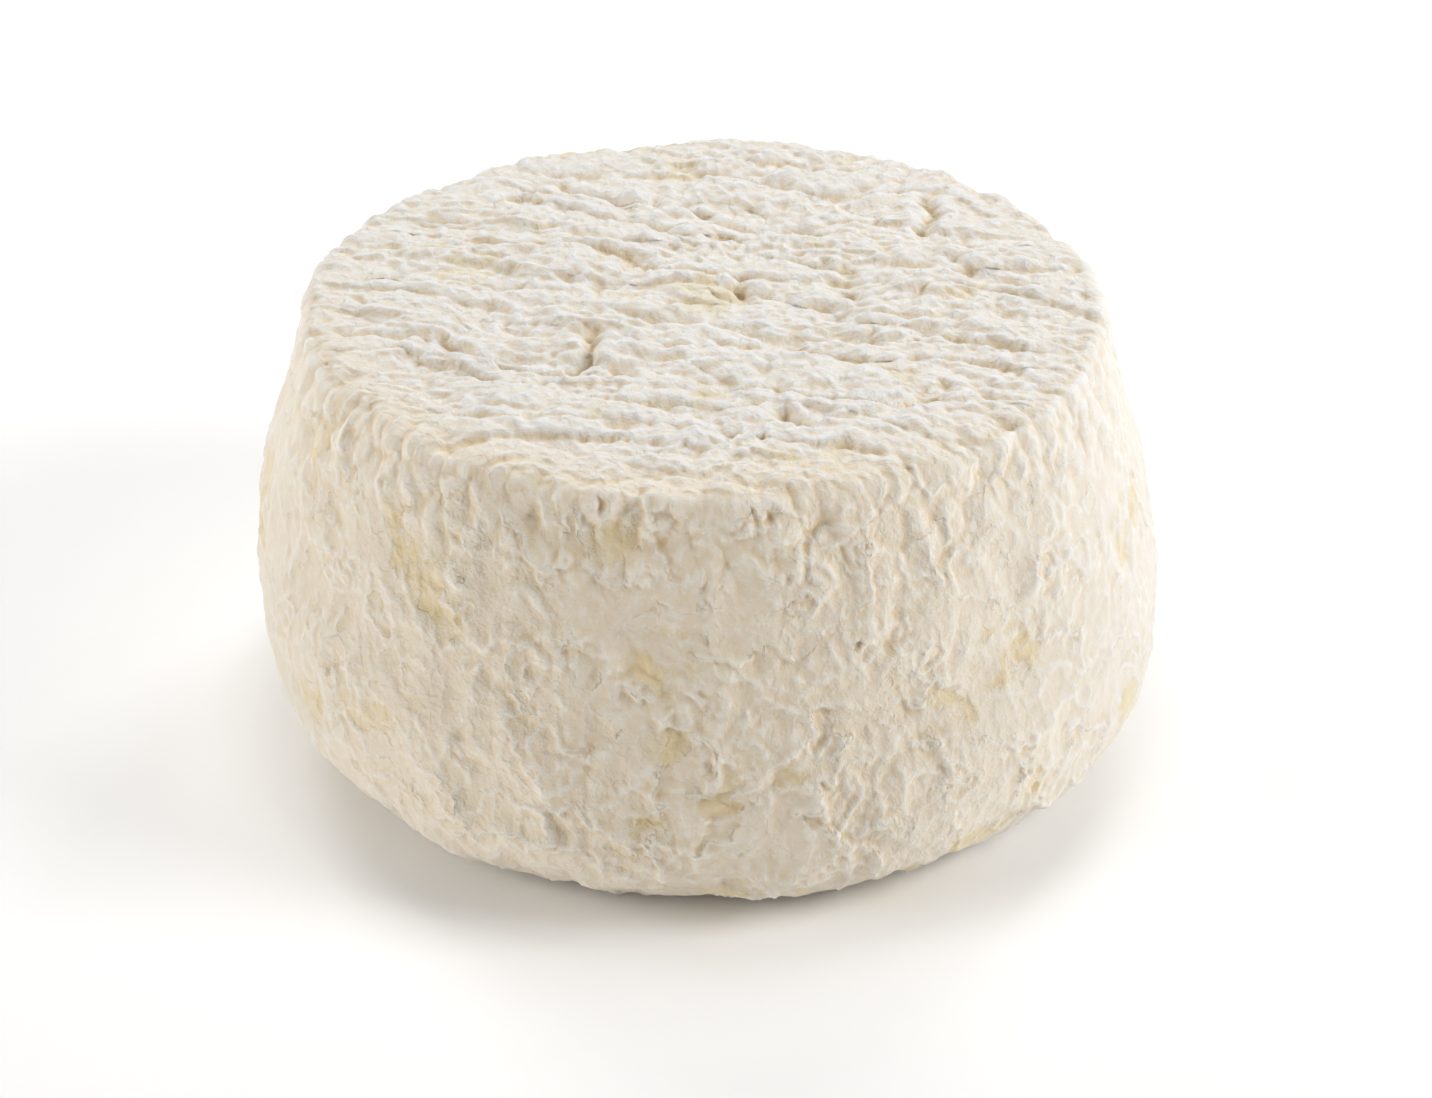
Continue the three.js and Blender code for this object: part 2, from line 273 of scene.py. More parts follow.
class Studio(bpy.types.PropertyGroup):
    """The camera, the lights and the floor."""

    aim: sizes("Aim", "Point that the camera looks at", (1.0, -0.56, 22.2))
    distance: size("Distance", "From the camera to its aim", 500)
    elevation: FloatProperty(
        name="Elevation",
        description="Camera above the horizon",
        default=math.radians(30.85),
        subtype="ANGLE",
    )
    lens: FloatProperty(name="Lens", description="Focal length", default=92.8, unit="CAMERA")
    over_power: power("Over", "Light straight above", 1.29)
    back_left_power: power("Back left", "Light from behind to the left", 1.62)
    back_right_power: power("Back right", "Light from behind to the right", 1.25)
    right_power: power("Right", "Light from the right", 3.25)
    left_power: power("Left", "Light from the left", 2.25)
    plain_tint: tint("Plain tint", "Colour of all lamps but the left one", (1.0, 0.995, 0.99))
    warm_tint: tint("Warm tint", "Colour of the left lamp", (1.0, 0.98, 0.95))
    fill: number("Fill", "Strength of the light from all round", 0.03)
    floor_reach: FloatProperty(
        name="Floor reach", description="Half of the floor's width", default=12.0, unit="LENGTH"
    )
    # Strength of the floor's painted light. It is faint round the wheel and full far from it, so that it
    # leaves a painted shadow at the wheel's foot.
    painted_floor_glow: number("Floor glow", "How much the far floor is lit beyond the lamps", 0.9)


# ---------------------------------------------------------------- noise


def grid_hash(cells, seed):
    """A repeatable 32-bit number for each whole-number point."""
    column, row, layer = (cells[:, axis].astype(np.int64).astype(np.uint32) for axis in range(3))
    bits = np.uint32(seed * 0x9E3779B1 & 0xFFFFFFFF) ^ layer * np.uint32(0xCB1AB31F)
    bits = bits ^ column * np.uint32(0x8DA6B343) ^ row * np.uint32(0xD8163841)
    bits = (bits ^ (bits >> np.uint32(15))) * np.uint32(0x85EBCA6B)
    bits = (bits ^ (bits >> np.uint32(13))) * np.uint32(0xC2B2AE35)
    return bits ^ (bits >> np.uint32(16))


def grid_triples(cells, seed):
    """Three numbers from 0 to 1 for each whole-number point."""
    return bit_shares(grid_hash(cells, seed), 10)


def bit_shares(bits, width):
    """The lowest three runs of bits, each as a number from 0 to 1."""
    most = 2**width - 1
    return np.stack([(bits >> np.uint32(axis * width) & np.uint32(most)) / most for axis in range(3)], axis=1)


def waves(at, seed):
    """Smooth noise of one layer, about -1 to 1, from random slopes at whole-number points."""
    base = np.floor(at)
    part = at - base
    ease = part**3 * (part * (part * 6 - 15) + 10)
    total = np.zeros(len(at))
    for corner in np.ndindex(2, 2, 2):
        slopes = grid_triples(base + corner, seed) * 2 - 1
        share = np.where(np.array(corner) == 1, ease, 1 - ease).prod(axis=1)
        total += share * (slopes * (part - corner)).sum(axis=1)
    return total * 1.4


def one_layer(at, seed, layer):
    """Smooth noise of one of several layers."""
    return waves(at * LAYER_FINENESS**layer + LAYER_SHIFT * layer, seed + LAYER_SEEDS * layer)


def layered_waves(at, seed, layers):
    """Several layers of smooth noise, each finer and fainter than the one before."""
    return sum(one_layer(at, seed, layer) * LAYER_WEIGHT**layer for layer in range(layers))


def cell_distances(at, seed):
    """Distances to the nearest and second nearest of randomly scattered cell centres."""
    base = np.floor(at)
    nearest = np.full(len(at), np.inf)
    second = np.full(len(at), np.inf)
    for offset in np.ndindex(3, 3, 3):
        cell = base + offset - 1
        away = np.linalg.norm(cell + grid_triples(cell, seed) - at, axis=1)
        second = np.minimum(second, np.maximum(nearest, away))
        nearest = np.minimum(nearest, away)
    return nearest, second


def smoothstep(value, low, high):
    """0 below low, 1 above high, and a smooth rise between them."""
    share = np.clip((value - low) / (high - low), 0, 1)
    return share * share * (3 - 2 * share)


def warped(points, reach, extent, seed):
    """The points pushed about at random, so that what is drawn over them winds and tapers."""
    pushes = [waves(points / extent, seed + axis) for axis in range(3)]
    return points + reach * np.stack(pushes, axis=1)


def domes(at, seed):
    """Round mounds of random height pushed against one another, about -0.9 to 0.7 high.

    Where two of them meet there is a sharp valley.
    """
    base = np.floor(at)
    highest = np.full(len(at), -np.inf)
    for offset in np.ndindex(3, 3, 3):
        cell = base + offset - 1
        bits = grid_hash(cell, seed)
        height = 0.5 * (bits >> np.uint32(24)) / 255
        dome = height - ((cell + bit_shares(bits, 8) - at) ** 2).sum(axis=1)
        highest = np.maximum(highest, dome)
    return highest * 1.6


def terraces(at, seed, layers, edge):
    """Steps from 0 to 1: each rises slowly towards -Y and ends in a round, steep edge."""
    level = 0.9 * layered_waves(at, seed, layers) - at[:, 1]
    share = level - np.floor(level)
    slope = np.sin(np.clip(share / (1 - edge), 0, 1) * math.pi / 2)
    fall = np.clip((1 - share) / edge, 0, 1)
    return np.where(share < 1 - edge, slope, np.sqrt(fall * (2 - fall)))


def ridges(at, seed, layers):
    """Thin winding ridges with finer ones on their flanks, from 0 between them to about 1."""
    total = np.zeros(len(at))
    weight = np.ones(len(at))
    for layer in range(layers):
        ridge = np.maximum(0, 1 - 2.4 * np.abs(one_layer(at, seed, layer))) ** 3
        total += weight * ridge * 0.6**layer
        weight = np.minimum(1, 0.15 + 1.5 * ridge * weight)
    return total


def pitch_of(level, points, faces):
    """Way over which a level grows by one, at each point."""
    a, b, _, d = (faces[:, corner] for corner in range(4))
    ahead = (level[b] - level[a]) / np.linalg.norm(points[b] - points[a], axis=1)
    across = (level[d] - level[a]) / np.linalg.norm(points[d] - points[a], axis=1)
    steepness = np.hypot(ahead, across)
    total = np.zeros(len(level))
    count = np.zeros(len(level))
    for corner in range(4):
        total += np.bincount(faces[:, corner], weights=steepness, minlength=len(level))
        count += np.bincount(faces[:, corner], minlength=len(level))
    return np.maximum(count, 1) / np.maximum(total, 1e-9)


def sheets(relief, level, pitch):
    """Height of sheets that lie over one another, from 0 to 1.

    A sheet ends where its level passes a whole number. It thickens slowly to that edge, curls up there, and
    drops.
    """
    share = level - np.floor(level)
    curled = np.exp(-(((1 - share) * pitch / relief.curl) ** 2))
    falling = np.exp(-((share * pitch / relief.drop) ** 2))
    thick = share * np.minimum(1, pitch / CROWDED)
    return thick + (relief.lip + share - thick) * curled + (relief.lip + 1 - thick) * falling


def way_from(points, start, end):
    """Distance of each point, seen from above, to a straight line between two others."""
    start, end = np.array(start), np.array(end)
    share = np.clip((points[:, :2] - start) @ (end - start) / ((end - start) ** 2).sum(), 0, 1)
    return np.linalg.norm(points[:, :2] - start - share[:, None] * (end - start), axis=1)


# ---------------------------------------------------------------- the wheel's form


def wall_radius(form, height, turn):
    """Radius of the plain wall at a height and a direction, before the lean."""
    side = np.cos(turn)
    widest = form.widest_radius + form.widest_radius_swing * side
    widest_height = form.widest_height + form.widest_height_swing * side
    foot = form.foot_radius + form.foot_radius_swing * side
    low = np.clip(1 - height / widest_height, 0, None)
    shoulder = form.shoulder_radius - form.shoulder_flattening * np.sin(turn) ** 2
    high = np.clip((height - widest_height) / (form.height - widest_height), 0, None)
    return widest - (widest - foot) * low**form.foot_curve - (widest - shoulder) * high**form.shoulder_curve


def top_grid(form, divisions):
    """Points of the plain top: a square grid bent into the disc."""
    steps = np.linspace(-1, 1, divisions + 1)
    across, along = (axis.ravel() for axis in np.meshgrid(steps, steps, indexing="ij"))
    reach = np.maximum(np.abs(across), np.abs(along))
    sideways = np.abs(across) >= np.abs(along)
    safe_across = np.where(across == 0, 1, across)
    safe_along = np.where(along == 0, 1, along)
    turn_across = math.pi / 4 * along / safe_across + np.where(across < 0, math.pi, 0)
    turn_along = math.pi / 2 - math.pi / 4 * across / safe_along + np.where(along < 0, math.pi, 0)
    turn = np.where(reach == 0, 0, np.where(sideways, turn_across, turn_along))
    rim = wall_radius(form, form.height, turn) - form.rim_rounding
    points = ring_points(turn, reach * rim, form.height)
    return points, np.tile([0.0, 0.0, 1.0], (len(points), 1)), (reach - 1) * rim


def wall_profile(form, rows):
    """Rows from the rim to the foot: height, step in from the wall, normal, way down from the top's edge."""
    rim_rows = max(3, rows // 18)
    angles = math.pi / 2 * (1 - np.arange(1, rim_rows + 1) / rim_rows)
    rim = np.stack(
        [
            form.height - form.rim_rounding * (1 - np.sin(angles)),
            form.rim_rounding * (1 - np.cos(angles)),
            np.cos(angles),
            np.sin(angles),
            form.rim_rounding * (math.pi / 2 - angles),
        ],
        axis=1,
    )
    heights = np.linspace(form.height - form.rim_rounding, 0, 2000)
    radii = wall_radius(form, heights, math.pi / 2)
    lengths = np.concatenate([[0], np.cumsum(np.hypot(np.diff(heights), np.diff(radii)))])
    wanted = np.linspace(0, lengths[-1], rows - rim_rows + 1)[1:]
    height = np.interp(wanted, lengths, heights)
    outward = np.interp(wanted, lengths, -np.gradient(heights, lengths))
    upward = np.interp(wanted, lengths, np.gradient(radii, lengths))
    path = wanted + form.rim_rounding * math.pi / 2
    wall = np.stack([height, np.zeros(len(height)), outward, upward, path], axis=1)
    wall[-1, 0] = 0
    return np.concatenate([rim, wall])


def wheel_surface(form, relief):
    """The plain wheel: a grid on the top, rings down the wall and a base.

    Gives points, normals, each point's way down from the top's edge, faces of four corners and the hub's
    face.
    """
    divisions = relief.top_divisions
    top_points, top_normals, top_path = top_grid(form, divisions)
    index = np.arange((divisions + 1) ** 2).reshape(divisions + 1, divisions + 1)
    faces = [quads(index[:-1, :-1], index[1:, :-1], index[1:, 1:], index[:-1, 1:])]

    ring = np.concatenate([index[-1, :-1], index[:0:-1, -1], index[0, :0:-1], index[:-1, 0]])
    columns = len(ring)
    turns = -math.pi / 4 + 2 * math.pi * np.arange(columns) / columns
    points, normals, paths = [top_points], [top_normals], [top_path]
    count = len(top_points)
    for height, inset, outward, upward, path in wall_profile(form, relief.wall_rows):
        radius = wall_radius(form, height, turns) - inset
        points.append(ring_points(turns, radius, height))
        normals.append(ring_points(turns, np.full(columns, outward), upward))
        paths.append(np.full(columns, path))
        below = np.arange(count, count + columns)
        faces.append(quads(ring, below, np.roll(below, -1), np.roll(ring, -1)))
        ring = below
        count += columns

    for share in BASE_RINGS:
        points.append(ring_points(turns, wall_radius(form, 0, turns) * share, 0))
        normals.append(np.tile([0.0, 0.0, -1.0], (columns, 1)))
        paths.append(paths[-1] + form.foot_radius * 0.1)
        inner = np.arange(count, count + columns)
        faces.append(quads(ring, inner, np.roll(inner, -1), np.roll(ring, -1)))
        ring = inner
        count += columns
    hub = [list(map(int, ring[::-1]))]
    points = np.concatenate(points)
    normals = np.concatenate(normals)
    normals /= np.linalg.norm(normals, axis=1, keepdims=True)
    return points, normals, np.concatenate(paths), np.concatenate(faces), hub


def quads(*corners):
    """One face of four corners for each place in the given arrays."""
    return np.stack([corner.ravel() for corner in corners], axis=1)


def ring_points(turns, radius, height):
    """Points round the axis."""
    return np.stack([radius * np.cos(turns), radius * np.sin(turns), np.full(len(turns), height)], axis=1)


def surface_normals(points, faces):
    """Normals of the finished surface at its points."""
    a, b, c, d = (points[faces[:, corner]] for corner in range(4))
    facing = np.cross(c - a, d - b)
    normals = np.zeros_like(points)
    for corner in range(4):
        np.add.at(normals, faces[:, corner], facing)
    return normals / np.maximum(np.linalg.norm(normals, axis=1, keepdims=True), 1e-12)


def neighbour_mean(values, faces, rounds):
    """Each point's value, averaged again and again with those it shares faces with."""
    count = np.bincount(faces.ravel(), minlength=len(values)).astype(float)
    for _ in range(rounds):
        mean = values[faces].mean(axis=1)
        total = np.zeros(len(values))
        for corner in range(4):
            total += np.bincount(faces[:, corner], weights=mean, minlength=len(values))
        values = np.where(count > 0, total / np.maximum(count, 1), values)
    return values


# ---------------------------------------------------------------- relief


def along_the_mat(relief, points):
    """The points turned and bent so that X runs along the creases that the draining mat left."""
    turn = relief.mat_turn
    laid = points.copy()
    laid[:, 0] = points[:, 0] * math.cos(turn) - points[:, 1] * math.sin(turn)
    laid[:, 1] = points[:, 0] * math.sin(turn) + points[:, 1] * math.cos(turn)
    laid[:, 1] += waves(laid / (16 * MM), SEED_BEND) * 3 * MM
    return laid


def below_the_rim(form, points, paths):
    """The points as if the skin hung straight down from the rim: -Z is the way down from the top's edge."""
    turns = np.arctan2(points[:, 1], points[:, 0])
    radius = np.full(len(points), form.shoulder_radius)
    return ring_points(turns, radius, -paths)


def coarse_top(relief, points, laid):
    """Mounds, long steps and deep creases of the top, which the solid has too."""
    nearest, _ = cell_distances(laid / np.array(relief.mound_size), SEED_MOUNDS)
    mound = 1 - np.minimum(1, nearest / 0.85) ** 2
    step = terraces(laid / np.array(relief.step_size), SEED_STEPS, 2, STEP_EDGE)
    rise = relief.mound_rise * (mound - 0.5) + relief.step_rise * (step - 0.6)
    for half_width, depth, path in CREASES:
        away = np.min([way_from(points / MM, start, end) for start, end in zip(path, path[1:])], axis=0)
        rise -= depth * MM * np.exp(-((away / half_width) ** 2))
    return rise


def wound_on_top(laid):
    """The top's points pushed about, as its pillows, folds, knobs and dimples wind."""
    return warped(laid, 1.1 * MM, 7 * MM, SEED_WARP)


def fold_level(relief, laid):
    """Level of the top's folds. Each fold's edge faces -Y."""
    at = wound_on_top(laid) / np.array(relief.fold_size)
    return 0.9 * layered_waves(at, SEED_FOLDS, 3) - at[:, 1]


def fine_top(relief, laid, folds):
    """Smooth pillows, folds that lie over one another, knobs, dimples and puckers."""
    wound = wound_on_top(laid)
    pillows = domes(wound / np.array(relief.pillow_size), SEED_PILLOWS)
    folded = smoothstep(waves(laid / (np.array([22, 10, 15]) * MM), SEED_FOLD_FADE), -0.5, 0.4)
    knobs = domes(wound / np.array(relief.knob_size), SEED_KNOBS)
    knobbly = smoothstep(waves(laid / (18 * MM), SEED_KNOB_FADE) + laid[:, 0] / (90 * MM), -0.3, 0.6)
    dimples = domes(wound / np.array(relief.dimple_size), SEED_DIMPLES)
    puckers = domes(laid / np.array(relief.pucker_size), SEED_PUCKERS)
    rise = relief.pillow_rise * pillows + relief.fold_rise * (folds - 0.5) * (0.25 + 0.75 * folded)
    rise += relief.knob_rise * knobs * (0.35 + 0.65 * knobbly)
    return rise - relief.dimple_rise * dimples - relief.pucker_rise * puckers


def coarse_wall(relief, points):
    """Broad folds of the wall, which the solid has too."""
    nearest, second = cell_distances(points / np.array(relief.wall_fold_size), SEED_WALL_FOLDS)
    return relief.wall_fold_rise * (0.5 - np.minimum(1, second - nearest))


def coat_level(hung, extent, seed, layers):
    """Level of plates or scales of the wall's coat. More of their edges face down than up."""
    at = hung / np.array(extent)
    return 1.3 * layered_waves(at, seed, layers) - 0.3 * at[:, 2]


def fine_wall(relief, hung, plates, scales):
    """Smooth bulges and hollows, under plates and scales of the coat, thin ridges, nubs and dents."""
    wound = warped(hung, 1.6 * MM, 6 * MM, SEED_WALL_WARP)
    bulges = domes(wound / np.array(relief.bulge_size), SEED_BULGES)
    hollows = domes(wound / np.array(relief.hollow_size), SEED_HOLLOWS)
    nubs = domes(wound / np.array(relief.nub_size), SEED_NUBS)
    dents = domes(wound / np.array(relief.dent_size), SEED_DENTS)
    thin = ridges(wound / np.array(relief.ridge_size), SEED_RIDGES, 3)
    lively = smoothstep(waves(hung / (9 * MM), SEED_CALM), -0.4, 0.35)
    rise = relief.bulge_rise * bulges - relief.hollow_rise * hollows
    rise += relief.ridge_rise * thin * (0.15 + 0.85 * lively)
    rise += (relief.nub_rise * nubs - relief.dent_rise * dents) * (0.25 + 0.75 * lively)
    rise += (relief.plate_rise * (plates - 0.5) + relief.scale_rise * (scales - 0.5)) * (0.3 + 0.7 * lively)
    return rise * (1 - 0.5 * (hung[:, 0] / hung[:, :2].max()) ** 2)


def rim_knobs(relief, hung, paths):
    """Knobs that crowd just below the rim and fade out down the wall."""
    wound = warped(hung, 1.2 * MM, 6 * MM, SEED_RIM_WARP)
    knobs = domes(wound / np.array(relief.rim_knob_size), SEED_RIM_KNOBS)
    fade = 1 - smoothstep(paths, 0.3 * relief.rim_knob_reach, relief.rim_knob_reach)
    return smoothstep(paths, -4 * MM, 1 * MM) * fade * relief.rim_knob_rise * knobs


def rim_lip(relief, points, hung, paths):
    """A thin beaded lip round the top's edge, with a hollow below it where the rind is most bare."""
    turns = np.degrees(np.arctan2(points[:, 1], points[:, 0]))
    front = smoothstep(turns, -118, -108) * (1 - smoothstep(turns, -92, -80))
    beads = np.clip(0.5 + waves(hung / (np.array([3, 3, 12]) * MM), SEED_LIP), 0, 1.2)
    lip = np.exp(-(((paths - 1.4 * MM) / relief.lip_width) ** 2)) * beads * (0.5 + 0.5 * front)
    hollow = np.exp(-(((paths - 7 * MM) / (3 * MM)) ** 2)) * front
    return relief.lip_rise * lip - relief.lip_hollow * hollow


def coat_thickness(points, paths):
    """The mould coat, from 0 where the rind is bare to 1 where the coat is thick."""
    wound = warped(points, 2.2 * MM, 6 * MM, SEED_BLOOM_WARP)
    patches = layered_waves(wound / (np.array([15, 15, 13]) * MM), SEED_BLOOM, 4)
    coat = smoothstep(patches, -0.95, 0.1)
    turns = np.degrees(np.arctan2(wound[:, 1], wound[:, 0]))
    for turn, down, half_width, half_height in BARE_PATCHES:
        sideways = np.radians(turns - turn) * np.hypot(wound[:, 0], wound[:, 1]) / (half_width * MM)
        upright = (paths - down * MM) / (half_height * MM)
        coat *= 1 - 0.85 * np.exp(-(sideways**2) - upright**2)
    return coat


def wrinkled_rind(form, relief):
    """Points, faces and per-point measures of the finished rind."""
    plain, normals, paths, faces, hub = wheel_surface(form, relief)
    laid = along_the_mat(relief, plain)
    hung = below_the_rim(form, plain, paths)
    on_top = smoothstep(normals[:, 2], 0.3, 0.95)
    lump = relief.lump_rise * waves(plain / np.array(relief.lump_size), SEED_LUMPS)
    inside = 0.35 + 0.65 * (1 - smoothstep(paths, -9 * MM, 0))
    coarse = lump + on_top * inside * coarse_top(relief, plain, laid)
    coarse += (1 - on_top) * coarse_wall(relief, plain)
    coarse *= smoothstep(plain[:, 2], 0, relief.foot_fade)
    points = plain + normals * coarse[:, None]

    coat = coat_thickness(plain, paths)
    fold_levels = fold_level(relief, laid)
    fold_pitch = pitch_of(fold_levels, points, faces)
    folds = sheets(relief, fold_levels, fold_pitch)
    plate_levels = coat_level(hung, relief.plate_size, SEED_PLATES, 4)
    plate_pitch = pitch_of(plate_levels, points, faces)
    plates = sheets(relief, plate_levels, plate_pitch)
    scale_levels = coat_level(hung, relief.scale_size, SEED_SCALES, 3)
    scales = sheets(relief, scale_levels, pitch_of(scale_levels, points, faces))
    fine = neighbour_mean(on_top * (0.5 + 0.5 * inside) * fine_top(relief, laid, folds), faces, 1)
    fine += (1 - on_top) * fine_wall(relief, hung, plates, scales)
    fine += rim_knobs(relief, hung, paths) + rim_lip(relief, plain, hung, paths)
    fine += relief.bloom_rise * (coat - 0.6)
    fine *= smoothstep(plain[:, 2], 0, relief.foot_fade / 4)
    points += surface_normals(points, faces) * fine[:, None]
    lapped = relief.lap * fine * on_top
    points[:, 0] -= lapped * math.sin(relief.mat_turn)
    points[:, 1] -= lapped * math.cos(relief.mat_turn)
    points[:, 2] -= relief.sag * fine * (1 - on_top) * smoothstep(plain[:, 2], 0, relief.foot_fade)
    points[:, 0] += form.lean * (plain[:, 2] / form.height - 0.5)
    points[:, 1] += form.lean_back * (plain[:, 2] / form.height - 0.5)

    detail = coarse + fine
    measures = {
        "coat": coat,
        "crest": (detail - neighbour_mean(detail, faces, 3)) / MM,
        "hollow": (detail - neighbour_mean(detail, faces, 12)) / MM,
        "basin": (detail - neighbour_mean(detail, faces, 100)) / MM,
        "on_top": on_top,
        # How far the finished surface faces up, which the material turns into painted light: whiter where it
        # faces up, creamier where it is steep.
        "level": surface_normals(points, faces)[:, 2],
        "fold_level": fold_levels,
        "fold_pitch": fold_pitch / MM,
        "plate_level": plate_levels,
        "plate_pitch": plate_pitch / MM,
        "hung": hung / MM,
    }
    return points, faces, hub, measures


def fitted_to_frame(points):
    """The points moved to where the solid is, and made smaller where they reach too far past its box."""
    low, high = (np.array(corner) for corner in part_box(WHEEL_NODE))
    own_low, own_high = points.min(axis=0), points.max(axis=0)
    middle = (own_low + own_high) / 2
    scale = REACH_PAST_BOX * ((high - low) / (own_high - own_low)).min()
    moved = (points - middle) * min(scale, 1)
    moved[:, :2] += (low[:2] + high[:2]) / 2
    moved[:, 2] -= moved[:, 2].min()
    return moved


# ---------------------------------------------------------------- shader writing


class Term:
    """A shader socket in an expression. Arithmetic on it adds Math nodes."""

    def __init__(self, shader, socket):
        self.shader = shader
        self.socket = socket

    def math(self, operation, *others, clamp=False):
        """The value joined to others by a Math node."""
        settings = {"operation": operation, "use_clamp": clamp}
        return self.shader.node("ShaderNodeMath", settings, dict(enumerate((self, *others))))

    def __add__(self, other):
        return self.math("ADD", other)

    __radd__ = __add__

    def __mul__(self, other):
        return self.math("MULTIPLY", other)

    __rmul__ = __mul__

    def __sub__(self, other):
        return self.math("SUBTRACT", other)

    def __rsub__(self, other):
        return (self * -1) + other

    def __truediv__(self, other):
        return self.math("DIVIDE", other)

    def __pow__(self, other):
        return self.math("POWER", other)

    def clamped(self):
        """The value kept between 0 and 1."""
        return self.math("ADD", 0.0, clamp=True)

    def step(self, low, high):
        """0 below low, 1 above high, and a smooth rise between them."""
        settings = {"interpolation_type": "SMOOTHSTEP"}
        inputs = {"Value": self, "From Min": low, "From Max": high}
        return self.shader.node("ShaderNodeMapRange", settings, inputs)


class Shader:
    """A material's nodes, and the one way of adding to them."""

    def __init__(self, name):
        self.material = bpy.data.materials.new(name)
        self.material.use_nodes = True
        self.tree = self.material.node_tree
        self.tree.nodes.clear()

    def node(self, kind, settings=None, inputs=None, output=0):
        """Adds a node, with its settings first and then its sockets' values or links."""
        node = self.tree.nodes.new(kind)
        for name, value in (settings or {}).items():
            setattr(node, name, value)
        for name, value in (inputs or {}).items():
            socket = node.inputs[name]
            if isinstance(value, Term):
                self.tree.links.new(value.socket, socket)
            else:
                socket.default_value = value
        return Term(self, node.outputs[output]) if len(node.outputs) else None

    def measure(self, name):
        """A number kept at each point of the mesh."""
        return self.node("ShaderNodeAttribute", {"attribute_name": name}, output="Fac")

    def mix(self, share, first, second, blend="MIX"):
        """A colour between two others, or with another blend laid over it."""
        colours = [value if isinstance(value, Term) else (*value, 1) for value in (first, second)]
        # The node's colour sockets share their names with its others, so they go by number.
        inputs = {0: share, 6: colours[0], 7: colours[1]}
        return self.node("ShaderNodeMix", {"data_type": "RGBA", "blend_type": blend}, inputs, output=2)

    def place(self, name):
        """Three numbers kept at each point of the mesh."""
        return self.node("ShaderNodeAttribute", {"attribute_name": name}, output="Vector")

    def own_place(self):
        """The object's own coordinates."""
        return self.node("ShaderNodeTexCoord", output="Object")

    def stretched(self, place, scale):
        """A place with each axis multiplied."""
        return self.node("ShaderNodeVectorMath", {"operation": "MULTIPLY"}, {0: place, 1: scale})

    def along(self, place, direction):
        """How far a place lies in a direction."""
        settings = {"operation": "DOT_PRODUCT"}
        return self.node("ShaderNodeVectorMath", settings, {0: place, 1: direction}, "Value")

    def edges(self, kind, rag):
        """For a kind of sheet, a place's share of the way to the edge, and the mm to and from an edge."""
        share = (self.measure(f"{kind}_level") + rag).math("FRACT")
        pitch = self.measure(f"{kind}_pitch")
        return share, (1 - share) * pitch, share * pitch

    def pushed(self, place, fineness, reach):
        """A place pushed about at random, so that what is drawn over it winds."""
        inputs = {"Vector": place, "Scale": fineness, "Detail": 1.0}
        push = self.node("ShaderNodeTexNoise", None, inputs, "Color")
        settings = {"operation": "MULTIPLY_ADD"}
        return self.node("ShaderNodeVectorMath", settings, {0: push, 1: (reach, reach, reach), 2: place})

    def cells(self, place):
        """Distance to the nearest of scattered centres."""
        return self.node("ShaderNodeTexVoronoi", {"feature": "F1"}, {"Vector": place, "Scale": 1.0})

    def noise(self, place, layers, roughness=0.5, distortion=0.0):
        """Layered noise from 0 to 1."""
        inputs = {
            "Vector": place,
            "Scale": 1.0,
            "Detail": layers,
            "Roughness": roughness,
            "Distortion": distortion,
        }
        return self.node("ShaderNodeTexNoise", None, inputs)


